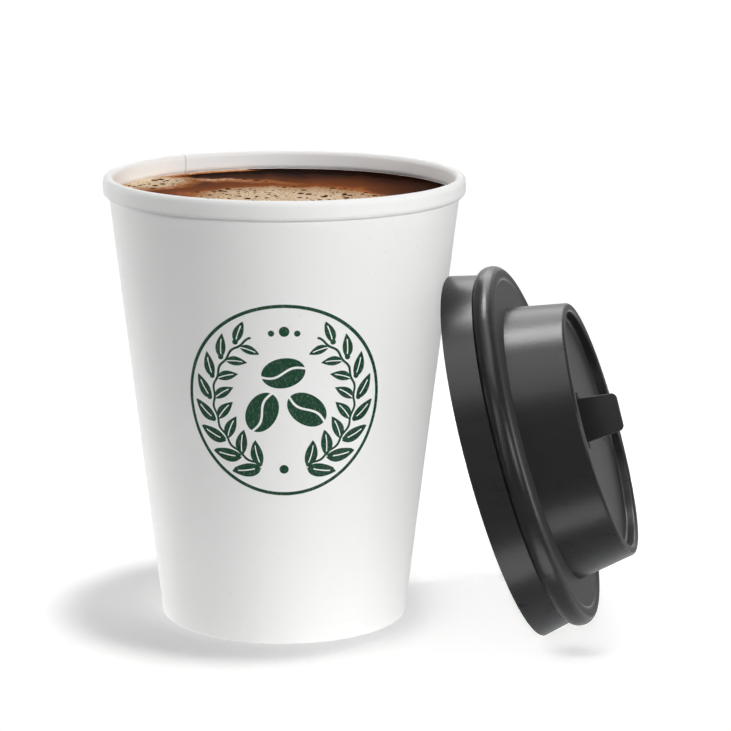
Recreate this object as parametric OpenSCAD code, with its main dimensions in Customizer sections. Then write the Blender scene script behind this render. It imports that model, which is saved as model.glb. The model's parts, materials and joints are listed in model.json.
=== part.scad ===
// Paper coffee cup with its drink, and its black press-on lid leaning against the side.
// Millimetres. The origin is at the middle of the cup's foot, on the table, and +Z is up.
// The front of the cup faces -Y, and the lid leans on the +X side.

/* [Cup] */
// Height of the cup, from the table to the top of the rolled rim
cup_h = 112; // [100:1:125]
// Outside diameter of the rolled rim
rim_d = 90; // [86:0.5:94]
// Outside diameter of the foot
foot_d = 62; // [56:0.5:66]
// Thickness of the paper board
board_t = 0.4; // [0.3:0.05:0.5]
// Height of the rolled rim
rim_h = 4.9; // [4:0.1:5.5]
// Width of the rolled rim, from inside to outside
rim_w = 2.6; // [2.2:0.1:3]
// How far the rolled rim stands out from the wall below it
rim_lip = 1.5; // [1.2:0.1:1.8]
// Width of the glued overlap at the side seam
seam_w = 6; // [4:0.5:9]
// Direction of the side seam, turned from +X
seam_turn = 127; // [0:1:359]

/* [Base] */
// Height of the base disc above the table
base_lift = 9; // [7:0.5:12]
// Height of the hem that is folded up inside the foot
hem_h = 7.6; // [5:0.1:8]
// Play between the glued layers at the foot, and around the base disc
layer_gap = 0.03; // [0.02:0.01:0.05]

/* [Drink] */
// Depth of the drink's surface below the top of the rim
fill_drop = 4.85; // [4.6:0.05:40]

/* [Lid] */
// Wall thickness of the lid
lid_t = 0.5; // [0.4:0.05:0.6]
// Height of the flared skirt, from the open end to the bead
skirt_h = 7; // [5:0.5:10]
// How far the skirt flares out from its neck to the open end
skirt_flare = 1.8; // [0.8:0.1:2.5]
// Play between the cup's rim and the bead that snaps over it
snap_gap = 0.2; // [0.1:0.05:0.3]
// Radius of the bead's round section
bead_r = 2.6; // [2.2:0.1:2.8]
// Depth of the flat ring between bead and drum, below the top of the bead
deck_drop = 0.5; // [0.3:0.1:1.2]
// Height of the seal ring that hangs inside the cup's mouth
seal_h = 3.2; // [2:0.1:4]
// Diameter of the raised drum where it meets the flat ring
drum_d = 69.2; // [64:0.2:74]
// Height of the raised drum above the flat ring
drum_h = 14.2; // [10:0.1:18]
// Draft of the drum's wall from upright, in degrees
drum_draft = 10.8; // [3:0.1:14]
// Radius of the drum's top edge
drum_round = 0.9; // [0.7:0.1:1.2]

/* [Lid top] */
// Width of the rim around the pocket in the drum's top
pocket_rim = 2.2; // [2.1:0.1:4]
// Depth of the pocket
pocket_depth = 2.9; // [2:0.1:4]
// Draft of the pocket's wall from upright, in degrees
pocket_draft = 4; // [0:0.5:10]
// Radius of the hollow corner around the pocket's floor
pocket_fillet = 0.8; // [0.4:0.1:1.2]
// Length of the sip hole
sip_l = 7; // [5:0.2:8]
// Width of the sip hole
sip_w = 3.6; // [2.6:0.2:4]
// Diameter of the vent hole
vent_d = 1.2; // [0.8:0.1:2]

/* [Sip tab] */
// Width of the tab at its hinge
tab_w = 11; // [9:0.1:13]
// How much narrower the tab is at its free edge, on each side
tab_taper = 1; // [0:0.1:1.5]
// Length of the tab, from its hinge to its free edge
tab_l = 9.8; // [7:0.1:11]
// Thickness of the tab
tab_t = 1.5; // [1.2:0.1:1.8]
// Radius of the tab's free corners
tab_round = 1.2; // [0.6:0.1:2]
// Radius of the hinge's pins
pin_r = 0.5; // [0.4:0.05:0.55]
// Play around a pin in its ear
pin_gap = 0.05; // [0.03:0.01:0.08]
// Thickness of each hinge ear
ear_t = 1.2; // [1:0.1:1.6]
// Play beside the tab, between it and each ear
ear_gap = 0.15; // [0.1:0.05:0.3]
// Play under the tab when it lies flat in the pocket
floor_gap = 0.2; // [0.15:0.05:0.4]
// Play between the lying tab's free edge and the pocket's wall
edge_gap = 0.5; // [0.3:0.1:1]
// Turn of the tab from upright, where plus closes it over the sip hole
tab_turn = 0; // [-90:5:90]

/* [Place of the lid] */
// Lean of the lid's open end from upright, in degrees
lid_lean = 17.6; // [12:0.2:24]
// Direction that the lid's top faces, turned from +X
lid_turn = -11; // [-30:1:20]
// Turn of the lid about its own axis, where 0 brings the sip side to the front
lid_roll = -20.5; // [-60:0.5:60]
// Direction from the cup's middle to where the lid touches it, turned from +X
lid_side = -16.6; // [-40:0.2:20]
// Play where the lid touches the cup's wall
lean_gap = 0.3; // [0.25:0.05:0.6]

/* [Hidden] */
$fn = 96;

// Cup
neck_z = cup_h - rim_h;
neck_r = rim_d / 2 - rim_lip;
roll_r = rim_w / 2;
roll_x = rim_d / 2 - roll_r;
seam_step = 0.9 * board_t;
seam_angle = seam_w / neck_r * 180 / PI;
layer = board_t + layer_gap;
foot_round = 0.3;
slit = seam_step - 0.15 * board_t;
reach = 200;

// Lid, in its own frame: the open end lies on z = 0 and the top faces +z
neck_lid_r = neck_r + snap_gap + lid_t;
mouth_r = neck_lid_r + skirt_flare;
bead_x = rim_d / 2 + snap_gap + lid_t - bead_r;
bead_h = rim_h + snap_gap + lid_t + 0.1;
bead_low = skirt_h + bead_r;
bead_high = skirt_h + bead_h - bead_r;
deck_z = skirt_h + bead_h - deck_drop;
lid_h = deck_z + drum_h;
lip_round = lid_t + 0.2;
edge_z = lid_h - drum_round;
edge_x = drum_d / 2 - tan(drum_draft) * (edge_z - deck_z) - drum_round / cos(drum_draft);
drum_top_r = drum_d / 2 - tan(drum_draft) * drum_h;
pocket_r = drum_top_r - pocket_rim;
floor_z = lid_h - pocket_depth;
lip_x = pocket_r + lip_round;
lip_z = lid_h - lip_round;
corner_z = floor_z + pocket_fillet;
corner_x = lip_x - (pocket_fillet + lip_round - (corner_z - lip_z) * sin(pocket_draft)) / cos(pocket_draft);

// Tab, in the lid's frame: its hinge runs along y
tip_w = tab_w - 2 * tab_taper;
hinge_x = sqrt(pow(corner_x + pocket_fillet, 2) - pow(tip_w / 2, 2)) - edge_gap - tab_l;
hinge_z = floor_z + tab_t / 2 + floor_gap;
ear_r = pin_r + pin_gap + 0.5;
ear_y = tab_w / 2 + ear_gap;

// Outside radius of the cup's wall at a height
function wall_r(z) = foot_d / 2 + (neck_r - foot_d / 2) * z / neck_z;

// Points on an arc about (x, z), from angle a to angle b
function arc(x, z, r, a, b, steps = 10) =
    [for (i = [0 : steps]) let (t = a + (b - a) * i / steps) [x + r * cos(t), z + r * sin(t)]];

// A band of one board's thickness that follows the wall, k layers in from its outside
module band(k, low, high) {
    polygon([
        [wall_r(low) - k * layer - board_t, low], [wall_r(low) - k * layer, low],
        [wall_r(high) - k * layer, high], [wall_r(high) - k * layer - board_t, high]
    ]);
}

// A section with round ends, w wide and h high, standing on z = low about x
module stadium(x, low, w, h) {
    polygon(concat(arc(x, low + w / 2, w / 2, -180, 0, 20), arc(x, low + h - w / 2, w / 2, 0, 180, 20)));
}

// The rolled rim: a flattened tube whose free edge stops beside the wall, underneath
module rim_section() {
    difference() {
        stadium(roll_x, neck_z, rim_w, rim_h);
        stadium(roll_x, neck_z + board_t, rim_w - 2 * board_t, rim_h - 2 * board_t);
        translate([neck_r, neck_z - board_t]) square([slit, 3 * board_t]);
    }
}

// The wall turns in under the foot and stands up again inside it, as the hem
module fold_section() {
    polygon([
        [wall_r(0) - 2 * layer - board_t, board_t],
        [wall_r(0) - 2 * layer - board_t, foot_round], [wall_r(0) - 2 * layer - board_t + foot_round, 0],
        [wall_r(0) - foot_round, 0], [wall_r(0), foot_round], [wall_r(0), board_t]
    ]);
}

module hem_section() {
    band(2, board_t / 2, hem_h);
    fold_section();
}

// The rolled sheet's section down to the foot's fold, moved out by the given distance
module sheet_section(out = 0) {
    translate([out, 0]) {
        band(0, board_t / 2, neck_z + board_t);
        rim_section();
        fold_section();
    }
}

// The sheet is rolled into a cone whose two ends overlap. Half of the turn is round about the cup's
// axis, and the other half is round about an axis a little aside, so that it ends outside its start.
module cup_wall() {
    color("white") rotate([0, 0, seam_turn]) {
        rotate_extrude() hem_section();
        rotate_extrude(angle = 180) sheet_section();
        translate([seam_step / 2, 0, 0]) rotate([0, 0, 180]) rotate_extrude(angle = 180)
            sheet_section(seam_step / 2);
        rotate_extrude(angle = seam_angle) sheet_section(seam_step);
    }
}

// The base disc, with its edge turned down between the wall and the hem
module cup_base() {
    color("white") rotate_extrude() {
        polygon([
            [0, base_lift], [wall_r(base_lift) - layer, base_lift],
            [wall_r(base_lift + board_t) - layer, base_lift + board_t], [0, base_lift + board_t]
        ]);
        band(1, 2 * board_t, base_lift + board_t / 2);
    }
}

module coffee() {
    low = base_lift + board_t + layer_gap;
    high = cup_h - fill_drop;
    color("saddlebrown") translate([0, 0, low])
        cylinder(h = high - low, r1 = wall_r(low) - layer, r2 = wall_r(high) - layer);
}

// One side of the lid's sheet, from the open end to the middle of the pocket's floor. k is the depth under
// the outer face: 0 for the outer face and lid_t for the inner one.
function lid_path(k) = let (
        r = bead_r - k,
        neck_a = -acos((neck_lid_r - k - bead_x) / r),
        deck_a = 180 - asin((deck_z - k - bead_high) / r)
    ) concat(
        [[mouth_r - k, 0]],
        arc(bead_x, bead_low, r, neck_a, 0),
        arc(bead_x, bead_high, r, 0, deck_a, 16),
        k > 0 ? seal_ring(bead_x + r * cos(deck_a), deck_z - k) : [],
        [[drum_d / 2 - k / cos(drum_draft) + k * tan(drum_draft), deck_z - k]],
        arc(edge_x, edge_z, drum_round - k, drum_draft, 90, 6),
        arc(lip_x, lip_z, lip_round - k, 90, 180 - pocket_draft, 6),
        arc(corner_x, corner_z, pocket_fillet + k, -pocket_draft, -90, 6),
        [[0, floor_z - k]]
    );

// The seal ring's corners, hanging from the flat ring at radius x
function seal_ring(x, z) = [[x, z - seal_h], [x - lid_t, z - seal_h], [x - lid_t, z]];

function reversed(list) = [for (i = [len(list) - 1 : -1 : 0]) list[i]];

module sip_hole_shape() {
    square([sip_w, sip_l - sip_w], center = true);
    for (side = [-1, 1]) translate([0, side * (sip_l - sip_w) / 2]) circle(d = sip_w);
}

// One of the two ears that carry the tab, at y = 0 with its pin hole left open
module ear_blank() {
    translate([0, ear_t, 0]) rotate([90, 0, 0]) cylinder(h = ear_t, r = ear_r);
    foot_z = hinge_z - floor_z + lid_t / 2;
    translate([-ear_r, 0, -foot_z]) cube([2 * ear_r, ear_t, foot_z]);
}

module lid_body() {
    difference() {
        rotate_extrude() polygon(concat(lid_path(0), reversed(lid_path(lid_t))));
        translate([hinge_x + tab_l / 2, 0, floor_z - reach / 2]) linear_extrude(reach) sip_hole_shape();
        translate([-hinge_x, 0, floor_z - reach / 2]) cylinder(h = reach, d = vent_d);
    }
    difference() {
        for (side = [0, 1]) mirror([0, side, 0]) translate([hinge_x, ear_y, hinge_z]) ear_blank();
        translate([hinge_x, reach / 2, hinge_z]) rotate([90, 0, 0]) cylinder(h = reach, r = pin_r + pin_gap);
    }
}

// Stands the lid on its open end's edge, leaning on the cup's wall at the top of that edge
module lid_place() {
    top_z = 2 * mouth_r * cos(lid_lean);
    top_r = wall_r(top_z) + lean_gap;
    up = [-sin(lid_lean) * cos(lid_turn), -sin(lid_lean) * sin(lid_turn), cos(lid_lean)];
    translate([top_r * cos(lid_side), top_r * sin(lid_side), top_z] - mouth_r * up)
        rotate([0, 90 - lid_lean, lid_turn]) rotate([0, 0, lid_roll - 90]) children();
}

module lid() {
    color("dimgray") lid_place() lid_body();
}

// The tab's face: narrower towards its free edge, where both corners are round
module tab_shape() {
    lean = atan(tab_taper / tab_l);
    round_y = tab_l - tab_round;
    round_x = tab_w / 2 - round_y * tan(lean) - tab_round / cos(lean);
    right = arc(round_x, round_y, tab_round, lean, 90, 8);
    polygon(concat([[tab_w / 2, 0]], right, [for (p = reversed(right)) [-p[0], p[1]]], [[-tab_w / 2, 0]]));
}

// The tab stands on a round foot that turns between the ears on two short pins
module sip_tab() {
    color("dimgray") lid_place() translate([hinge_x, 0, hinge_z]) rotate([0, tab_turn, 0]) {
        rotate([90, 0, 0]) cylinder(h = tab_w, r = tab_t / 2, center = true);
        rotate([90, 0, 0]) cylinder(h = 2 * (ear_y + ear_t), r = pin_r, center = true);
        translate([-tab_t / 2, 0, 0]) rotate([90, 0, 90]) linear_extrude(tab_t) {
            tab_shape();
        }
    }
}

cup_wall();
cup_base();
coffee();
lid();
sip_tab();
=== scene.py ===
"""Dresses a paper cup of coffee and the black plastic lid that leans on it.

The solids of the cup's paper and of the lid keep their shapes and get finishes of nodes. The coffee, its
bubbles and the sip tab are surfaces worked out here. Lengths are in metres, apart from the materials and the
outline of the crema, where they are in millimetres.
"""
import json
import math

import bmesh
import bpy
import numpy as np
from bpy.props import FloatProperty, FloatVectorProperty, IntProperty, PointerProperty
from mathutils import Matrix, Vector


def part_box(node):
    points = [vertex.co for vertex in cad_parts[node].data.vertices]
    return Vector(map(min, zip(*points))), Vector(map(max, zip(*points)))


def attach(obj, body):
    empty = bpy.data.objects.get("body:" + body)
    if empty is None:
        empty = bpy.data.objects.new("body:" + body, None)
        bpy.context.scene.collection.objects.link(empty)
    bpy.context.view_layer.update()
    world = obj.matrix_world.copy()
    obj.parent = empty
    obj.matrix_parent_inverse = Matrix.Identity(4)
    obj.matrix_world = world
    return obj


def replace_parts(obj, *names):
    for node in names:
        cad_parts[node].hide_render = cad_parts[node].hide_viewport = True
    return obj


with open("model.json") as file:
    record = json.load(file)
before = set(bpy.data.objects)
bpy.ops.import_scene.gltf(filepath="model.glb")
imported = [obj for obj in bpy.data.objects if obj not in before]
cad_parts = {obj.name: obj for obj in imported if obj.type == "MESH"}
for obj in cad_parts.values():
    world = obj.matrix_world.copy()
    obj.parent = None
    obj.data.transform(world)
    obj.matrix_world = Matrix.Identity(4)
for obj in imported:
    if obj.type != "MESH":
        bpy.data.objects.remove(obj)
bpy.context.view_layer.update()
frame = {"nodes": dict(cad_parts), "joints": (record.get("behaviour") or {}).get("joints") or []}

bl_info = {
    "name": "Paper coffee cup",
    "version": (1, 0, 0),
    "blender": (4, 5, 0),
    "location": "View3D > Sidebar > Coffee cup",
    "description": "Paper, print, coffee, bubbles and lid of a takeaway cup",
    "category": "Object",
}

MM = 0.001
HINGE = frame["joints"][0]
BLACK = (0.0, 0.0, 0.0, 1.0)
WHITE = (1.0, 1.0, 1.0, 1.0)


def srgb(red, green, blue):
    """A colour as it is seen on a screen, 0 to 255, as the linear colour that a shader takes."""
    seen = np.array([red, green, blue]) / 255
    linear = np.where(seen <= 0.04045, seen / 12.92, ((seen + 0.055) / 1.055) ** 2.4)
    return (*linear.tolist(), 1.0)


def length(name, description, default):
    return FloatProperty(name=name, description=description, default=default, min=0.0, unit="LENGTH",
                         precision=5)


def turned_by(name, description, degrees):
    return FloatProperty(name=name, description=description, default=math.radians(degrees), subtype="ANGLE")


def tint(name, description, default):
    return FloatVectorProperty(name=name, description=description, default=default[:3], min=0.0, max=1.0,
                               size=3, subtype="COLOR")


def share(name, description, default):
    return FloatProperty(name=name, description=description, default=default, min=0.0, max=1.0,
                         subtype="FACTOR")


def whole(name, description, default):
    return IntProperty(name=name, description=description, default=default, min=0)


class PaperSettings(bpy.types.PropertyGroup):
    foot_radius: length("Foot radius", "Outside radius of the cup's foot", 31.0 * MM)
    neck_radius: length("Neck radius", "Outside radius of the wall under the rolled rim", 43.5 * MM)
    neck_height: length("Neck height", "Height of the rolled rim's underside", 107.1 * MM)
    board: length("Board", "Thickness of the paper board", 0.4 * MM)
    hem_height: length("Hem height", "Height of the hem folded up inside the foot", 7.6 * MM)
    white: tint("Paper", "Colour of the board", srgb(245, 245, 244))
    fleck: tint("Flecks", "Colour of the faint flecks in the board", srgb(196, 196, 194))
    ink: tint("Ink", "Colour of the print", srgb(4, 56, 33))
    seam_turn: turned_by("Seam", "Direction of the side seam, from +X", 127)
    seam_width: length("Seam width", "Width of the side seam's overlap", 6.0 * MM)
    print_height: length("Print height", "Height of the print's middle", 63.0 * MM)
    wreath_radius: length("Wreath radius", "Radius of the printed wreath's stem", 17.4 * MM)
    bean_length: length("Bean length", "Half the length of a printed bean", 5.4 * MM)


class CoffeeSettings(bpy.types.PropertyGroup):
    level: length("Level", "Height of the coffee's surface", 106.8 * MM)
    meniscus: length("Meniscus", "How far the coffee climbs at the paper", 0.3 * MM)
    crema_lift: length("Crema lift", "How far the crema stands above the coffee", 0.25 * MM)
    bubbles: whole("Bubbles", "How many bubbles are tried on the crema", 3400)
    liquid: tint("Liquid", "Colour of deep coffee", srgb(26, 9, 3))
    brown: tint("Brown", "Colour of coffee beside the crema", srgb(138, 72, 33))
    crema: tint("Crema", "Colour of the crema", srgb(252, 238, 212))
    edge: tint("Edge", "Colour of the thin film at the paper", srgb(126, 62, 22))


class LidSettings(bpy.types.PropertyGroup):
    lean: turned_by("Lean", "Lean of the lid's open end from upright", 17.6)
    turn: turned_by("Turn", "Direction that the lid's top faces, from +X", -11)
    black: tint("Plastic", "Colour of the lid's plastic", srgb(22, 22, 23))
    matt: tint("Matt plastic", "Colour of the lid's matt faces", srgb(44, 44, 45))
    gloss: share("Roughness", "Roughness of the lid's plastic", 0.26)
    tab_gloss: share("Tab roughness", "Roughness of the sip tab's plastic", 0.5)
    tab_width: length("Tab width", "Width of the tab at its hinge", 11.0 * MM)
    tab_tip_width: length("Tab tip width", "Width of the tab at its free edge", 9.0 * MM)
    tab_length: length("Tab length", "Length of the tab from its hinge", 9.8 * MM)
    tab_thickness: length("Tab thickness", "Thickness of the tab", 1.5 * MM)
    tab_corner: length("Tab corner", "Radius of the tab's free corners", 1.3 * MM)
    tab_edge: length("Tab edge", "Radius that softens the tab's edges", 0.35 * MM)
    pin_radius: length("Pin radius", "Radius of the tab's two pins", 0.5 * MM)
    pin_reach: length("Pin reach", "How far each pin stands out beside the tab", 1.35 * MM)


class StageSettings(bpy.types.PropertyGroup):
    camera_distance: length("Camera distance", "Camera's distance in front of the cup's axis", 668 * MM)
    camera_height: length("Camera height", "Height of the camera above the table", 209.4 * MM)
    camera_pitch: turned_by("Camera pitch", "Pitch of the camera below level", 12.336)
    focal_pixels: FloatProperty(name="Focal length", description="Focal length in pixels", default=2714.1)
    axis_pixel: FloatProperty(name="Axis", description="Picture column of the cup's axis", default=284.1)
    picture: whole("Picture", "Width and height of the picture in pixels", 731)
    sky: share("Sky", "Strength of the even light from all sides", 0.09)


class Term:
    """A socket of some nodes. Used in a Python expression, it adds the Math nodes for it."""

    def __init__(self, nodes, socket):
        self.nodes = nodes
        self.socket = socket

    def __add__(self, other):
        return self.nodes.math("ADD", self, other)

    def __sub__(self, other):
        return self.nodes.math("SUBTRACT", self, other)

    def __rsub__(self, other):
        return self.nodes.math("SUBTRACT", other, self)

    def __mul__(self, other):
        return self.nodes.math("MULTIPLY", self, other)

    def __truediv__(self, other):
        return self.nodes.math("DIVIDE", self, other)

    def __pow__(self, other):
        return self.nodes.math("POWER", self, other)

    def __neg__(self):
        return 0 - self

    def __abs__(self):
        return self.nodes.math("ABSOLUTE", self)

    __radd__ = __add__
    __rmul__ = __mul__


class Nodes:
    """The nodes of a material or of the world, and the ways in which the finishes here add them."""

    def __init__(self, tree):
        self.tree = tree

    def feed(self, socket, value):
        if isinstance(value, Term):
            self.tree.links.new(value.socket, socket)
        else:
            socket.default_value = value

    def node(self, kind, settings=(), inputs=(), out=0):
        """A node of any kind, with its settings made first, and one of its outputs as a term."""
        node = self.tree.nodes.new("ShaderNode" + kind)
        for name, value in dict(settings).items():
            setattr(node, name, value)
        for name, value in dict(inputs).items():
            self.feed(node.inputs[name], value)
        return Term(self, node.outputs[out])

    def math(self, operation, *values):
        return self.node("Math", {"operation": operation}, enumerate(values))

    def smooth(self, value, low, high):
        """0 below low, 1 above high, and a smooth step between them."""
        return self.node("MapRange", {"interpolation_type": "SMOOTHSTEP"},
                         {"Value": value, "From Min": low, "From Max": high})

    def within(self, distance, reach, soft=0.08):
        """1 where a distance is well below the reach, 0 above it, and a smooth step of the soft width."""
        return self.smooth(reach - distance, 0, soft)

    def most(self, *values):
        top = values[0]
        for value in values[1:]:
            top = self.math("MAXIMUM", top, value)
        return top

    def mix(self, amount, first, second):
        return self.node("Mix", {"data_type": "RGBA"}, {0: amount, 6: first, 7: second}, out=2)

    def scaled(self, vector, factors):
        return self.node("VectorMath", {"operation": "MULTIPLY"}, {0: vector, 1: factors})

    def millimetres(self):
        """The point on the piece, in millimetres."""
        return self.scaled(self.node("TexCoord", out="Object"), (1000, 1000, 1000))

    def parts(self, vector):
        node = self.tree.nodes.new("ShaderNodeSeparateXYZ")
        self.feed(node.inputs[0], vector)
        return [Term(self, socket) for socket in node.outputs]

    def noise(self, place, scale, detail=2.0, roughness=0.5):
        return self.node("TexNoise", {}, {"Vector": place, "Scale": scale, "Detail": detail,
                                          "Roughness": roughness})

    def cells(self, place, scale, out="Distance"):
        """Distance to the nearest of many scattered points, or the colour that belongs to it."""
        return self.node("TexVoronoi", {}, {"Vector": place, "Scale": scale}, out)

    def attribute(self, name):
        return self.node("Attribute", {"attribute_name": name}, out="Fac")

    def relief(self, height, distance):
        """The normal of a surface that is raised by height times distance."""
        return self.node("Bump", {}, {"Height": height, "Distance": distance})

    def seen_directly(self):
        """1 for rays from the camera, from a gloss and through glass, which see the white background."""
        path = self.tree.nodes.new("ShaderNodeLightPath")
        rays = ("Is Camera Ray", "Is Glossy Ray", "Is Transmission Ray")
        return self.most(*[Term(self, path.outputs[ray]) for ray in rays])


class Look(Nodes):
    """A material and its nodes. The constants are what stays the same all over it."""

    def __init__(self, name, constants):
        self.material = bpy.data.materials.new(name)
        self.material.use_nodes = True
        super().__init__(self.material.node_tree)
        self.surface = self.tree.nodes["Principled BSDF"]
        for socket, value in constants.items():
            self.surface.inputs[socket].default_value = value

    def paint(self, **sockets):
        """The material, with what varies over it fed to the sockets of those names."""
        for name, value in sockets.items():
            self.feed(self.surface.inputs[name.replace("_", " ").title()], value)
        return self.material


def grid_faces(rows, columns):
    """The quads of a tube of rows times columns points, each joined to the next row and column. The last
    column is joined to the first."""
    row, column = np.meshgrid(np.arange(rows - 1), np.arange(columns), indexing="ij")
    after = (column + 1) % columns
    corners = [row * columns + column, row * columns + after, (row + 1) * columns + after,
               (row + 1) * columns + column]
    return np.stack(corners, -1).reshape(-1, 4)


def make_piece(name, points, faces, material, sharp_above=40.0):
    """A smooth piece of an array of points and a list of faces, sharp at edges above an angle in degrees."""
    mesh = bpy.data.meshes.new(name)
    mesh.from_pydata(points.reshape(-1, 3).tolist(), [], faces)
    mesh.update()
    mesh.polygons.foreach_set("use_smooth", np.ones(len(mesh.polygons), bool))
    mesh.set_sharp_from_angle(angle=math.radians(sharp_above))
    mesh.materials.append(material)
    piece = bpy.data.objects.new(name, mesh)
    bpy.context.scene.collection.objects.link(piece)
    return piece


def store(piece, name, values):
    """Keeps a number for each point of a piece, which its material reads."""
    layer = piece.data.attributes.new(name, "FLOAT", "POINT")
    layer.data.foreach_set("value", values.astype(np.float32))


def finish_node(node, material):
    """Gives a solid of the frame a material."""
    slots = frame["nodes"][node].data.materials
    slots.clear()
    slots.append(material)


def point_outwards(piece):
    """Merges doubles and turns the faces of a closed piece outwards."""
    work = bmesh.new()
    work.from_mesh(piece.data)
    bmesh.ops.remove_doubles(work, verts=work.verts, dist=1e-7)
    bmesh.ops.recalc_face_normals(work, faces=work.faces)
    work.to_mesh(piece.data)
    work.free()


def fuse(piece, other):
    """Joins another closed piece to a piece as one skin."""
    modifier = piece.modifiers.new("fuse", "BOOLEAN")
    modifier.operation = "UNION"
    modifier.solver = "EXACT"
    modifier.object = other
    with bpy.context.temp_override(object=piece, active_object=piece, selected_objects=[piece]):
        bpy.ops.object.modifier_apply(modifier=modifier.name)
    bpy.data.objects.remove(other)


def wall_slope(paper):
    """How far the cup's wall leans out for each unit of height."""
    return (paper.neck_radius - paper.foot_radius) / paper.neck_height


def leaf_mask(look, along, across, half_length, half_width):
    """Ink of one leaf. Its half width at s = along / half_length is w (1 - s^2) (1 - 0.3 s), and a bare line
    runs along its middle."""
    s = along / half_length
    body = half_width * (1 - s * s) * (1 - 0.3 * s) - abs(across)
    rib = look.within(abs(across), 0.17, 0.06) * look.within(s, 0.55, 0.1)
    return look.smooth(body, 0, 0.1) * (1 - rib)


def bean_mask(look, right, up, centre, turn, half_length):
    """Ink of one coffee bean: an ellipse with a bare line that bends along it as a sine."""
    cosine, sine = math.cos(turn), math.sin(turn)
    right, up = right - centre[0], up - centre[1]
    along, across = right * cosine + up * sine, up * cosine - right * sine
    half_width = 0.7 * half_length
    body = 1 - (along / half_length) ** 2 - (across / half_width) ** 2
    wave = 0.14 * half_length * look.math("SINE", along * (math.pi / half_length))
    return look.smooth(body, 0, 0.05) * (1 - look.within(abs(across - wave), 0.34, 0.09))


def dot_mask(look, right, up, centre, radius):
    """Ink of a round dot."""
    return look.within(((right - centre[0]) ** 2 + (up - centre[1]) ** 2) ** 0.5, radius)


def wreath_mask(look, right, up, radius):
    """Ink of two leafy sprigs that rise from the bottom, one on each side, with a ring around them and a few
    dots. A sprig is a row of like cells along a circle. Each cell holds a leaf to either side of the stem and
    a berry, and the leaves get smaller towards the top."""
    pitch, first_angle, last_angle = 0.3, 0.3, 2.68
    sprig_half_width = 5.4
    ring_out, ring_half_width = 6.3, 0.46
    leaf_half_length, leaf_half_width = 3.6, 1.5
    angle = look.math("ARCTAN2", abs(right), -up)
    out = (right * right + up * up) ** 0.5 - radius
    along = (look.math("FRACT", angle / pitch) - 0.5) * (pitch * radius)
    size = 1.16 - 0.14 * angle
    cell = look.within(abs(out - 0.25 * look.math("SINE", along * 1.2)), 0.34)
    for side, lift, slant in ((1, 2.8, 42), (-1, 2.5, 46)):
        cosine, sine = math.cos(math.radians(slant)), math.sin(math.radians(slant))
        across, ahead = side * out - lift, along - 0.3
        cell = look.most(cell, leaf_mask(look, ahead * cosine + across * sine, across * cosine - ahead * sine,
                                         leaf_half_length * size, leaf_half_width * size))
    berry = dot_mask(look, along, out, (-1.7, 1.15), 0.72)
    cell = look.most(cell, berry) * look.within(abs(out), sprig_half_width, 0.1)
    sprigs = cell * look.smooth(angle, first_angle, first_angle + 0.02) * look.within(angle, last_angle, 0.02)
    ring = look.within(abs(out - ring_out), ring_half_width)
    dots = [dot_mask(look, right, up, (0, -radius), 1.15), dot_mask(look, right, up, (0, radius), 1.3),
            dot_mask(look, abs(right), up, (3.1, radius - 0.5), 0.8)]
    return look.most(sprigs, ring, *dots)


def print_mask(look, paper, azimuth, height):
    """Ink of the whole print. The print is laid out on the flat blank: a point of the cone at radius r and
    azimuth a lies r a to the right, and its slant height sinks by r sin(c) a^2 / 2 for a cone of angle c."""
    slope = wall_slope(paper)
    cone = math.atan(slope)
    right = azimuth * (paper.foot_radius / MM + height * slope)
    up = (height - paper.print_height / MM) / math.cos(cone) - right * azimuth * (math.sin(cone) / 2)
    beans = [((-5.3, -3.0), 64), ((5.5, -2.3), -38), ((-0.2, 7.0), 12)]
    half_length = paper.bean_length / MM
    inked = [bean_mask(look, right, up, centre, math.radians(turn), half_length) for centre, turn in beans]
    return look.most(wreath_mask(look, right, up, paper.wreath_radius / MM), *inked)


def seam_line(look, x, y, turn):
    """1 along the half plane through the cup's axis in that direction, a quarter millimetre to each side."""
    cosine, sine = math.cos(turn), math.sin(turn)
    beside, towards = y * cosine - x * sine, x * cosine + y * sine
    return look.within(abs(beside), 0.26, 0.16) * look.smooth(towards, 0, 1)


def fleck_mask(look, here, scale, channel, growth, rarity, soft):
    """Specks in the middles of scattered cells. A random number of each cell, times growth and less rarity,
    is its speck's radius, so most cells have none."""
    chance = look.parts(look.cells(here, scale, "Color"))[channel]
    return look.smooth(chance * growth - rarity - look.cells(here, scale), 0, soft)


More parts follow.
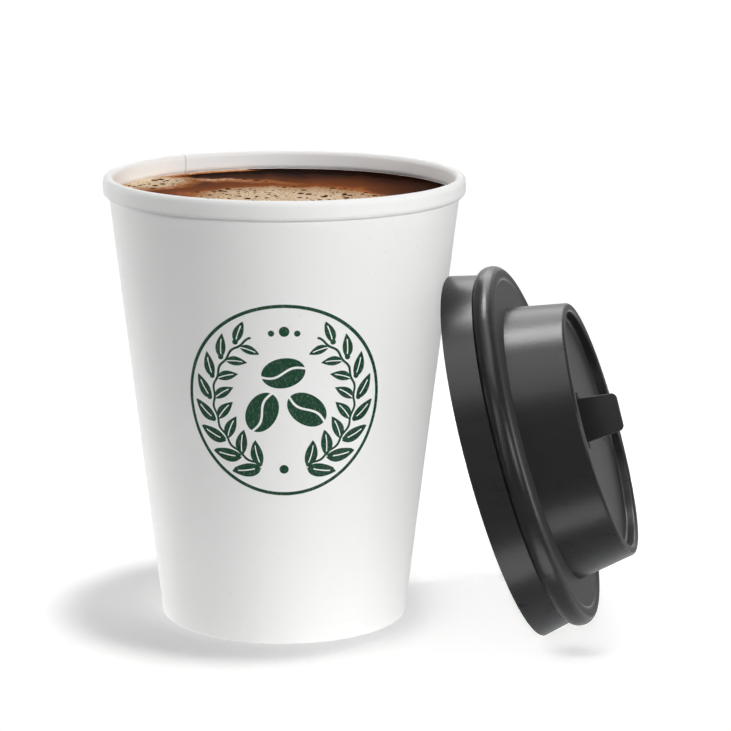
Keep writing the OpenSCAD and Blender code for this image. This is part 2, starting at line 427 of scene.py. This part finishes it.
def paper_look(paper):
    """White cup board: soft fibres, faint flecks, a smoother coated inside, and the print on the front."""
    look = Look("cup_board", {"Specular IOR Level": 0.15})
    here = look.millimetres()
    x, y, z = look.parts(here)
    neck = paper.neck_height / MM
    board_middle = (paper.foot_radius - paper.board / 2) / MM
    beyond_middle = (x * x + y * y) ** 0.5 - z * wall_slope(paper) - board_middle
    outside = look.smooth(beyond_middle, -0.05, 0.05)

    flecks = fleck_mask(look, here, scale=0.75, channel=0, growth=0.13, rarity=0.035, soft=0.02)
    fine_flecks = fleck_mask(look, here, scale=1.9, channel=1, growth=0.2, rarity=0.09, soft=0.03)
    fibres = look.noise(look.scaled(here, (1, 1, 0.45)), scale=3.2, detail=4.0, roughness=0.65)
    clouds = look.noise(here, scale=0.12)

    colour = look.mix(look.most(flecks * 0.8, fine_flecks * 0.45), (*paper.white, 1), (*paper.fleck, 1))
    colour = look.mix((fibres - 0.5) * 0.1 + (clouds - 0.5) * 0.06, colour, srgb(214, 214, 212))
    on_roll = look.smooth(z, neck - 1, neck)
    # Grey lines along the seam: the raw cut edges of the board, and painted shade of the step where the sheet
    # laps over itself.
    inner_cut_edge_and_shade = seam_line(look, x, y, paper.seam_turn) * look.most(1 - outside, on_roll)
    outer_cut_edge_and_shade = seam_line(look, x, y, paper.seam_turn + paper.seam_width / paper.neck_radius) * outside
    colour = look.mix(look.most(inner_cut_edge_and_shade, outer_cut_edge_and_shade) * 0.85, colour, srgb(158, 156, 152))
    azimuth = look.math("ARCTAN2", x, -y)
    ink = print_mask(look, paper, azimuth, z) * look.smooth(-y, 0, 1) * outside
    worn = 0.9 + 0.1 * look.smooth(fibres, 0.3, 0.5)
    colour = look.mix(ink * worn, colour, (*paper.ink, 1))

    crimp_zone = look.within(z, paper.hem_height / MM - 0.4, 0.3) * (1 - outside)
    crimp = look.math("SINE", azimuth * 140) * crimp_zone
    height = fibres * 0.012 + ink * 0.008 + look.noise(here, scale=9.0) * 0.004 + crimp * 0.05
    rough = 0.4 + 0.16 * outside - 0.1 * ink + (fibres - 0.5) * 0.12
    return look.paint(Base_Color=colour, Roughness=rough, Normal=look.relief(height, MM))


# The crema's patches in millimetres: the middle's x and y, half the length and half the width, and the turn
# in degrees. The first one is the main patch.
CREMA_PATCHES = [(0.5, -10.5, 25.5, 23.5, 0.0), (-34.0, 17.5, 7.5, 13.5, -30.0),
                 (-18.0, 25.0, 10.0, 1.5, -18.0), (-33.0, -14.0, 6.0, 16.0, 15.0),
                 (31.0, -24.0, 7.0, 9.0, 30.0)]


def crema_amount(x, y):
    """How far a point of the coffee lies inside any crema, and inside its main patch, in millimetres and
    below 0 outside. Each patch is an ellipse, with a value that falls evenly from its middle outwards, and
    sums of slow sines bend its outline. A row of foam also lies along the paper at the back left."""
    bend_x = x + 1.6 * np.sin(0.21 * y + 1.0) + 0.9 * np.sin(0.47 * y - 0.6) + 0.4 * np.sin(0.9 * y)
    bend_y = y + 1.2 * np.sin(0.24 * x + 0.4) + 0.7 * np.sin(0.55 * x) + 0.35 * np.sin(1.1 * x + 2)
    row_radius, row_middle, row_half_angle = 42.2, 132, 28
    beside_row = np.maximum(np.abs(np.hypot(x, y) - row_radius) - 0.5, 0)
    past_row = np.maximum(np.abs(np.degrees(np.arctan2(y, x)) - row_middle) - row_half_angle, 0)
    amounts = []
    for centre_x, centre_y, half_x, half_y, turn in CREMA_PATCHES:
        cosine, sine = math.cos(math.radians(turn)), math.sin(math.radians(turn))
        right, up = bend_x - centre_x, bend_y - centre_y
        a, b = right * cosine + up * sine, up * cosine - right * sine
        amounts.append((1 - np.hypot(a / half_x, b / half_y)) * min(half_x, half_y))
    row = 1.2 - 12 * beside_row - 0.8 * past_row
    return np.maximum(np.max(amounts, 0), row), amounts[0]


def smooth_step(value, low, high):
    """0 below low, 1 above high, and 3 t^2 - 2 t^3 between them."""
    t = np.clip((value - low) / (high - low), 0, 1)
    return t * t * (3 - 2 * t)


def crema_height(coffee, amount):
    """How far the crema stands up above the coffee at that amount of crema."""
    return coffee.crema_lift * smooth_step(amount, -0.4, 1.0)


def pool_edge(paper, angle, height):
    """Inside radius of the cup at an angle from the seam, a little less than the paper. In the second half
    turn the sheet runs out to lie over its own start, so the radius grows there."""
    play = 0.02 * MM
    step = 0.9 * paper.board
    inside = paper.foot_radius + wall_slope(paper) * height - paper.board - play
    late = np.mod(angle, 2 * math.pi) > math.pi
    return inside + np.where(late, (1 + np.cos(angle)) * step / 2, 0)


def coffee_points(paper, coffee, rings, turns):
    """The coffee as a grid of rings times turns, with the crema's amounts on its top. The top runs from the
    middle out, and z there is the level plus the crema's lift and a climb of m exp(-d / w) at distance d from
    the paper. Then the grid runs down the side and in to the middle of the bottom."""
    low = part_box("coffee")[0].z
    side_rows, side_play, climb_width = 12, 0.03 * MM, 0.9 * MM
    angle = np.linspace(0, 2 * math.pi, turns, endpoint=False)[None, :]
    out = np.linspace(0, 1, rings)[:, None] ** 0.8
    edge = pool_edge(paper, angle - paper.seam_turn, coffee.level)
    x, y = out * edge * np.cos(angle), out * edge * np.sin(angle)
    amount, main = crema_amount(x / MM, y / MM)
    lift = crema_height(coffee, amount) * (1 - smooth_step(out, 0.985, 1.0))
    climb = coffee.meniscus * np.exp(-(1 - out) * edge / climb_width)
    top = np.stack([x, y, coffee.level + lift + climb], -1)
    height = np.linspace(coffee.level, low, side_rows)[1:, None]
    reach = pool_edge(paper, angle - paper.seam_turn, height) - side_play
    side = np.stack([reach * np.cos(angle), reach * np.sin(angle), height + 0 * angle], -1)
    bottom = side[-1:] * np.array([0, 0, 1])
    return np.concatenate([top, side, bottom], 0), amount, main


def coffee_look(coffee):
    """Black coffee that turns brown towards its crema, the crema's fine foam, which is thin and amber at the
    edge of the main patch, and a thin film at the paper."""
    look = Look("coffee", {"Specular IOR Level": 0.0, "Coat IOR": 1.33})
    here = look.millimetres()
    slow = look.noise(here, scale=0.16)
    main = look.attribute("brown")
    amount = look.attribute("crema") + (look.noise(here, scale=0.55, detail=4.0, roughness=0.6) - 0.5) * 5
    x, _y, _z = look.parts(here)
    right_side = look.smooth(x, 10, 38)
    halo = look.smooth(main + (slow - 0.5) * 5, -26, 3) * (1 - 0.7 * right_side)
    amber = look.smooth(amount, -3.6, 0.6)
    foam = look.smooth(amount, -0.6, 3.4)

    fine = look.cells(here, 2.6)
    pores = look.smooth(look.cells(here, 1.35), 0.16, 0.34)
    mottle = look.noise(here, scale=1.7, detail=4.0, roughness=0.7)
    thin_foam = look.within(amount, 13, 13) * look.smooth(main, -4, 0)
    tan = look.mix(look.smooth(mottle, 0.36, 0.62), srgb(226, 190, 146), (*coffee.crema, 1))
    tan = look.mix(look.smooth(fine, 0.25, 0.8) * 0.3, tan, srgb(206, 154, 104))
    tan = look.mix(thin_foam * 0.65, tan, srgb(176, 112, 58))
    tan = look.mix((1 - pores) * 0.8, tan, srgb(92, 50, 22))
    colour = look.mix(halo, (*coffee.liquid, 1), (*coffee.brown, 1))
    colour = look.mix(amber * 0.8, colour, srgb(184, 112, 58))
    colour = look.mix(foam, colour, tan)
    film = look.smooth(look.attribute("rim"), -0.6, -0.15)
    colour = look.mix(film * 0.2, colour, (*coffee.edge, 1))
    height = foam * (0.5 * mottle + 0.35 * fine - 0.25 * (1 - pores))
    return look.paint(Base_Color=colour, Roughness=0.15 + 0.35 * foam, Coat_Weight=0.06 - 0.04 * foam,
                      Normal=look.relief(height, 0.3 * MM))


def make_pool(paper, coffee):
    """The coffee. Its sides and bottom are far from any crema, for their material."""
    rings, turns, far = 150, 360, -40.0
    points, amount, main = coffee_points(paper, coffee, rings, turns)
    pool = make_piece("coffee_pool", points, grid_faces(len(points), turns).tolist(), coffee_look(coffee),
                      sharp_above=60)
    radius = np.hypot(points[:rings, :, 0], points[:rings, :, 1])
    from_paper = (radius - radius[-1]) / MM
    for name, values in (("crema", amount), ("brown", main), ("rim", from_paper)):
        everywhere = np.full(points.shape[:2], far)
        everywhere[:rings] = values
        store(pool, name, everywhere.reshape(-1))
    point_outwards(pool)
    return pool


def bubble_look():
    """A bubble's skin: dark coffee shows through its middle, and its foot is a ring of tan foam."""
    look = Look("bubble_skin", {"Specular IOR Level": 0.0})
    crown = look.attribute("crown")
    colour = look.mix(look.smooth(crown, 0.1, 0.42), srgb(222, 178, 128), srgb(62, 30, 12))
    return look.paint(Base_Color=colour, Roughness=0.08 + 0.2 * (1 - crown))


def apart(places, radii):
    """The places and radii of those bubbles that touch no bubble before them."""
    gaps = np.linalg.norm(places[:, None] - places[None], axis=2) - radii[:, None] - radii[None]
    earlier = np.tri(len(places), k=-1, dtype=bool)
    free = ~((gaps < 0.05) & earlier).any(1)
    return places[free], radii[free]


def bubble_points(centres, radii):
    """Domes on the crema, as points, faces and how near the crown each point is. A dome is a flattened half
    sphere: at angle a from its crown it is sin a times the radius out and 0.3 cos a times the radius up, less
    a little that sinks it in, for each centre and radius at once."""
    rings, turns = 5, 12
    a = np.linspace(0.02, math.pi / 2, rings)[:, None]
    b = np.linspace(0, 2 * math.pi, turns, endpoint=False)[None, :]
    shape = np.stack([np.sin(a) * np.cos(b), np.sin(a) * np.sin(b), 0.3 * np.cos(a) - 0.06 + 0 * b], -1)
    points = centres[:, None, None, :] + radii[:, None, None, None] * shape[None]
    crown = np.broadcast_to(np.cos(a) + 0 * b, (len(radii), rings, turns))
    first = np.arange(len(radii))[:, None, None] * (rings * turns)
    sides = (grid_faces(rings, turns)[None] + first).reshape(-1, 4).tolist()
    crowns = (np.arange(turns)[None] + first[:, 0]).tolist()
    feet = (np.arange(turns)[None] + (rings - 1) * turns + first[:, 0]).tolist()
    return points, sides + crowns + feet, crown.reshape(-1)


def make_bubbles(coffee):
    """Many small bubbles and a few large ones, scattered on the crema, clear of the paper and each other."""
    square, inside_paper = 42.5, 42.4
    smallest, growth = 0.15, 0.85
    draw = np.random.default_rng(12)
    spread = draw.uniform(-square, square, (coffee.bubbles, 2))
    radii = smallest + growth * draw.uniform(0, 1, coffee.bubbles) ** 4.5
    in_cup = np.hypot(*spread.T) < inside_paper - radii
    on_crema = crema_amount(*spread.T)[0] > -0.6
    spread, radii = apart(spread[in_cup & on_crema], radii[in_cup & on_crema])
    level = coffee.level + crema_height(coffee, crema_amount(*spread.T)[0])
    centres = np.concatenate([spread * MM, level[:, None]], 1)
    points, faces, crown = bubble_points(centres, radii * MM)
    bubbles = make_piece("crema_bubbles", points, faces, bubble_look(), sharp_above=80)
    store(bubbles, "crown", crown)
    point_outwards(bubbles)
    return bubbles


def lid_axis(lid):
    """The direction that the lid's top faces."""
    return np.array([math.cos(lid.lean) * math.cos(lid.turn), math.cos(lid.lean) * math.sin(lid.turn),
                     math.sin(lid.lean)])


def plastic_look(lid, name, gloss):
    """Glossy black moulded plastic with soft flow marks and a little dust. Faces that look along the lid's
    axis have the fine matt grain of the mould."""
    look = Look(name, {"IOR": 1.46, "Specular IOR Level": 0.14})
    here = look.millimetres()
    flow = look.noise(look.scaled(here, (0.35, 1, 1)), scale=0.35, detail=3.0)
    grain = look.noise(here, scale=5.0, detail=3.0, roughness=0.6)
    dust = look.within(look.cells(here, 0.9), 0.06, 0.03)
    colour = look.mix(dust * 0.12, (*lid.black, 1), srgb(92, 92, 90))
    colour = look.mix(flow * 0.1, colour, srgb(40, 40, 42))
    rough = gloss - 0.05 + 0.1 * flow + 0.06 * grain
    height = look.noise(here, scale=0.8) * 0.02 + grain * 0.003
    look.paint(Base_Color=colour, Roughness=rough, Normal=look.relief(height, MM))

    matt = look.node("BsdfPrincipled", {}, {
        "Specular IOR Level": 0.08,
        "Base Color": look.mix(grain, (*lid.matt, 1), srgb(38, 38, 39)),
        "Roughness": 0.5 + 0.1 * grain,
        "Normal": look.relief(grain * 0.02 + flow * 0.01, MM),
    })
    facing = look.node("VectorMath", {"operation": "DOT_PRODUCT"},
                       {0: look.node("TexCoord", out="Normal"), 1: tuple(lid_axis(lid))}, out="Value")
    mixed = look.node("MixShader", {}, {0: look.smooth(facing, 0.86, 0.97),
                                        1: Term(look, look.surface.outputs[0]), 2: matt})
    look.feed(look.tree.nodes["Material Output"].inputs["Surface"], mixed)
    return look.material


def tab_frame(lid):
    """The tab's own axes as rows, x out of its face, y along its hinge and z to its free edge, and their
    origin on the hinge."""
    along_hinge = np.array(HINGE["axis"])
    up = lid_axis(lid)
    up = up - along_hinge * (up @ along_hinge)
    up = up / np.linalg.norm(up)
    return np.array([np.cross(along_hinge, up), along_hinge, up]), np.array(HINGE["pos_m"])


def round_polygon(corners, radii, steps):
    """A closed outline in the plane with its corners rounded: each corner becomes an arc that touches both
    of its sides. Returns the points and their outward normals, for corners that go round leftwards."""
    corners = np.array(corners, float)
    before = np.roll(corners, 1, 0) - corners
    after = np.roll(corners, -1, 0) - corners
    before /= np.linalg.norm(before, axis=1, keepdims=True)
    after /= np.linalg.norm(after, axis=1, keepdims=True)
    middle = before + after
    middle /= np.linalg.norm(middle, axis=1, keepdims=True)
    half = np.arccos(np.clip((before * after).sum(1), -1, 1)) / 2
    centres = corners + middle * (np.array(radii) / np.sin(half))[:, None]
    sweep = (math.pi - 2 * half)[:, None] * np.linspace(0, 1, steps)[None, :]
    first = np.arctan2(before[:, 0], -before[:, 1])[:, None]
    normals = np.stack([np.cos(first + sweep), np.sin(first + sweep)], -1)
    points = centres[:, None, :] + np.array(radii)[:, None, None] * normals
    return points.reshape(-1, 2), normals.reshape(-1, 2)


def plate_points(outline, normals, thickness, edge, steps=6):
    """A plate with softened edges: the outline is carried through the thickness along x, and near both
    faces it moves in by edge (1 - cos a) while x moves by edge sin a."""
    a = np.linspace(math.pi / 2, 0, steps)
    below_face = edge * (1 - np.sin(a))
    depth = np.concatenate([below_face - thickness / 2, thickness / 2 - below_face[::-1]])
    inset = edge * (1 - np.cos(np.concatenate([a, a[::-1]])))
    flat = outline[None] - normals[None] * inset[:, None, None]
    return np.concatenate([np.broadcast_to(depth[:, None, None], (*flat.shape[:2], 1)), flat], -1)


def turned_points(profile, turns):
    """A profile of (place on the y axis, radius) points turned round the y axis."""
    angle = np.linspace(0, 2 * math.pi, turns, endpoint=False)
    place, radius = np.array(profile).T[:, :, None]
    return np.stack([radius * np.sin(angle), place + 0 * angle, radius * np.cos(angle)], -1)


def closed_tube(points):
    """The faces of a tube of rings, with a flat face on its first and last ring."""
    rings, turns = points.shape[:2]
    first, last = list(range(turns)), list(range((rings - 1) * turns, rings * turns))
    return grid_faces(rings, turns).tolist() + [first[::-1], last]


def make_tab(lid):
    """The sip tab: a plate that is narrower towards its free edge, fused to a round root with two pins. Its
    large faces are shaded flat."""
    root, tip, roll = lid.tab_width / 2, lid.tab_tip_width / 2, lid.tab_thickness / 2
    root_corner, soft, large_face = 0.4 * MM, 0.15 * MM, 3 * MM * MM
    corners = [(-root, 0), (root, 0), (tip, lid.tab_length), (-tip, lid.tab_length)]
    radii = [root_corner, root_corner, lid.tab_corner, lid.tab_corner]
    plate = plate_points(*round_polygon(corners, radii, 10), lid.tab_thickness, lid.tab_edge)
    pin_end = root + lid.pin_reach
    half_profile = [(pin_end, lid.pin_radius - soft), (pin_end - soft, lid.pin_radius),
                    (root, lid.pin_radius), (root, roll - soft), (root - soft, roll)]
    profile = [(-place, radius) for place, radius in half_profile] + half_profile[::-1]
    axes, origin = tab_frame(lid)
    plastic = plastic_look(lid, "tab_plastic", lid.tab_gloss)
    pieces = []
    for name, points in (("sip_tab_plate", plate), ("tab_knuckle", turned_points(profile, 48))):
        piece = make_piece(name, points @ axes + origin, closed_tube(points), plastic)
        point_outwards(piece)
        pieces.append(piece)
    fuse(*pieces)
    mesh = pieces[0].data
    areas = np.empty(len(mesh.polygons))
    mesh.polygons.foreach_get("area", areas)
    mesh.polygons.foreach_set("use_smooth", areas < large_face)
    mesh.set_sharp_from_angle(angle=math.radians(40))
    return pieces[0]


def add_camera(stage):
    """The camera in front of the cup, shifted sideways so that the cup's axis is at its column."""
    data = bpy.data.cameras.new("camera")
    data.sensor_width = 36
    data.lens = stage.focal_pixels / stage.picture * data.sensor_width
    data.shift_x = 0.5 - stage.axis_pixel / stage.picture
    camera = bpy.data.objects.new("camera", data)
    camera.location = (0, -stage.camera_distance, stage.camera_height)
    camera.rotation_euler = (math.pi / 2 - stage.camera_pitch, 0, 0)
    bpy.context.scene.collection.objects.link(camera)
    bpy.context.scene.camera = camera


def floor_look():
    """A white floor that keeps the cup's shadow. Its glow rises away from the cup's axis until it is plain
    white. Near the cup the floor also glows for all other rays: it is no lamp, but this glow lights the cup
    and the lid from below."""
    look = Look("white_floor", {"Roughness": 0.9, "Specular IOR Level": 0.0,
                                "Base Color": srgb(243, 243, 243), "Emission Strength": 1.0})
    x, y, _z = look.parts(look.millimetres())
    out = (x * x + y * y) ** 0.5
    glow = look.math("MINIMUM", 0.16 + out * 0.0038, 1)
    # The floor near the cup glows for diffuse rays and so lights the cup and the lid from below, though it is
    # no lamp.
    glow_lighting_cup = look.within(out, 150, 70) * 0.44
    seen = look.seen_directly()
    return look.paint(Emission_Color=look.mix(glow * seen + glow_lighting_cup * (1 - seen), BLACK, WHITE))


def add_floor():
    """A round floor of three rings about the cup's foot, a little below it."""
    turns, below = 96, 0.05 * MM
    angle = np.linspace(0, 2 * math.pi, turns, endpoint=False)
    rings = np.array([0.4, 1.2, 3.0])[:, None]
    points = np.stack([rings * np.cos(angle), rings * np.sin(angle), 0 * rings - below + 0 * angle], -1)
    faces = grid_faces(len(rings), turns).tolist() + [list(range(turns))]
    return make_piece("floor", points, faces, floor_look())


def all_but(name, *left_out):
    """A collection that links a lamp to everything but those objects."""
    collection = bpy.data.collections.new(name)
    for piece in left_out:
        collection.objects.link(piece)
    for link in collection.collection_objects:
        link.light_linking.link_state = "EXCLUDE"
    return collection


def add_lamp(name, place, aim, size, power, lights=None, blockers=None):
    """A soft lamp at a place, turned to an aim. Collections may say what it lights and what blocks it."""
    data = bpy.data.lights.new(name, "AREA")
    data.shape = "RECTANGLE"
    data.size, data.size_y = size
    data.energy = power
    lamp = bpy.data.objects.new(name, data)
    bpy.context.scene.collection.objects.link(lamp)
    lamp.location = place
    lamp.visible_camera = False
    lamp.rotation_euler = (Vector(aim) - Vector(place)).to_track_quat("-Z", "Y").to_euler()
    lamp.light_linking.receiver_collection = lights
    lamp.light_linking.blocker_collection = blockers
    return lamp


CUP_MIDDLE = (0, 0, 0.06)
LID_MIDDLE = (0.06, -0.03, 0.08)
# Panels that are seen in gloss only: their name, place, aim, size and power
PANELS = [
    ("back_panel", (0, 0.234, 0.614), LID_MIDDLE, (0.28, 0.17), 4.6),
    ("far_panel", (0.04, 0.52, 0.5), LID_MIDDLE, (0.6, 0.45), 3.2),
    ("top_panel", (-0.05, -0.24, 0.74), LID_MIDDLE, (0.5, 0.5), 5.0),
    ("side_panel", (0.7, 0.03, 0.14), (0.06, -0.05, 0.05), (0.3, 0.3), 2.4),
    ("low_panel", (0.079, -0.08, 0.001), (0.079, -0.08, 1), (0.05, 0.03), 0.03),
    ("strip_panel", (-0.35, -0.61, 0.25), (0.06, -0.03, 0.05), (0.05, 0.6), 2.4),
]


def add_lamps(floor):
    """The soft lamps. The floor has two of its own, which light a round patch of it, so that its shadow and
    the light on the cup are set apart."""
    wall, lid = frame["nodes"]["cup_wall"], frame["nodes"]["lid"]
    floor_aside = all_but("all_but_floor", floor)
    lid_aside = all_but("all_but_lid", lid)
    paper_aside = all_but("all_but_paper", floor, wall)
    floor_only = bpy.data.collections.new("floor_only")
    floor_only.objects.link(floor)
    over_place, over_aim = (0.17, -0.03, 0.92), (0, 0, 0.03)
    lamp_height, lit_radius = 2.2, 0.325

    add_lamp("over", over_place, over_aim, (0.3, 0.3), 1.4, lights=floor_aside)
    add_lamp("over_drink", over_place, over_aim, (0.3, 0.3), 2.1, lights=paper_aside)
    floor_lamps = [
        add_lamp("floor", (0.33, -0.01, lamp_height), (0, 0, 0), (0.45, 0.45), 0.075, lights=floor_only),
        add_lamp("floor_through_lid", (0.2, -0.01, lamp_height), (0, 0, 0), (0.32, 0.32), 0.27,
                 lights=floor_only, blockers=lid_aside),
    ]
    for lamp in floor_lamps:
        lamp.data.spread = 2 * math.atan(lit_radius / lamp_height)
    add_lamp("front", (0.36, -0.53, 0.27), CUP_MIDDLE, (0.24, 0.24), 3.3, lights=floor_aside,
             blockers=lid_aside)
    add_lamp("left", (-0.77, 0.28, 0.25), CUP_MIDDLE, (0.35, 0.4), 4.7, lights=floor_aside)
    for panel in PANELS:
        add_lamp(*panel).visible_diffuse = False


def add_surroundings(stage):
    """Plain white for the camera, gloss and glass, and a weak even light for everything else."""
    world = bpy.data.worlds.new("white_surroundings")
    bpy.context.scene.world = world
    world.use_nodes = True
    nodes = Nodes(world.node_tree)
    background = world.node_tree.nodes["Background"]
    background.inputs["Color"].default_value = WHITE
    nodes.feed(background.inputs["Strength"], stage.sky + (1 - stage.sky) * nodes.seen_directly())


class CUP_OT_stage(bpy.types.Operator):
    """Makes the camera, the white floor, the soft lamps and the white surroundings"""

    bl_idname = "cup.stage"
    bl_label = "Stage"

    def execute(self, context):
        stage = context.scene.cup_stage
        add_camera(stage)
        floor = add_floor()
        add_lamps(floor)
        add_surroundings(stage)
        context.scene.view_settings.view_transform = "Standard"
        return {"FINISHED"}


class CUP_OT_paper(bpy.types.Operator):
    """Finishes the cup's wall and base as printed board"""

    bl_idname = "cup.paper"
    bl_label = "Paper"

    def execute(self, context):
        board = paper_look(context.scene.cup_paper)
        finish_node("cup_wall", board)
        finish_node("cup_base", board)
        return {"FINISHED"}


class CUP_OT_coffee(bpy.types.Operator):
    """Makes the coffee with its crema and the bubbles on it"""

    bl_idname = "cup.coffee"
    bl_label = "Coffee"

    def execute(self, context):
        paper, coffee = context.scene.cup_paper, context.scene.cup_coffee
        pool = make_pool(paper, coffee)
        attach(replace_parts(pool, "coffee"), "cup")
        bubbles = make_bubbles(coffee)
        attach(bubbles, "cup")
        return {"FINISHED"}


class CUP_OT_lid(bpy.types.Operator):
    """Finishes the lid as black plastic, and makes its sip tab"""

    bl_idname = "cup.lid"
    bl_label = "Lid and sip tab"

    def execute(self, context):
        lid = context.scene.cup_lid
        finish_node("lid", plastic_look(lid, "black_plastic", lid.gloss))
        tab = make_tab(lid)
        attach(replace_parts(tab, "sip_tab"), "tab")
        return {"FINISHED"}


class CUP_PT_panel(bpy.types.Panel):
    """Lists the cup's pieces"""

    bl_idname = "CUP_PT_panel"
    bl_label = "Coffee cup"
    bl_space_type = "VIEW_3D"
    bl_region_type = "UI"
    bl_category = "Coffee cup"

    def draw(self, context):
        for piece in ("paper", "coffee", "lid", "stage"):
            settings = getattr(context.scene, "cup_" + piece)
            box = self.layout.box()
            box.operator("cup." + piece)
            for name in settings.__annotations__:
                box.prop(settings, name)


CLASSES = (PaperSettings, CoffeeSettings, LidSettings, StageSettings, CUP_OT_stage, CUP_OT_paper,
           CUP_OT_coffee, CUP_OT_lid, CUP_PT_panel)
SETTINGS = {"cup_paper": PaperSettings, "cup_coffee": CoffeeSettings, "cup_lid": LidSettings,
            "cup_stage": StageSettings}


def register():
    for kind in CLASSES:
        bpy.utils.register_class(kind)
    for name, kind in SETTINGS.items():
        setattr(bpy.types.Scene, name, PointerProperty(type=kind))


def unregister():
    for name in SETTINGS:
        delattr(bpy.types.Scene, name)
    for kind in reversed(CLASSES):
        bpy.utils.unregister_class(kind)


def main():
    register()
    bpy.ops.cup.stage()
    bpy.ops.cup.paper()
    bpy.ops.cup.coffee()
    bpy.ops.cup.lid()
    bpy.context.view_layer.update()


if __name__ == "__main__":
    main()
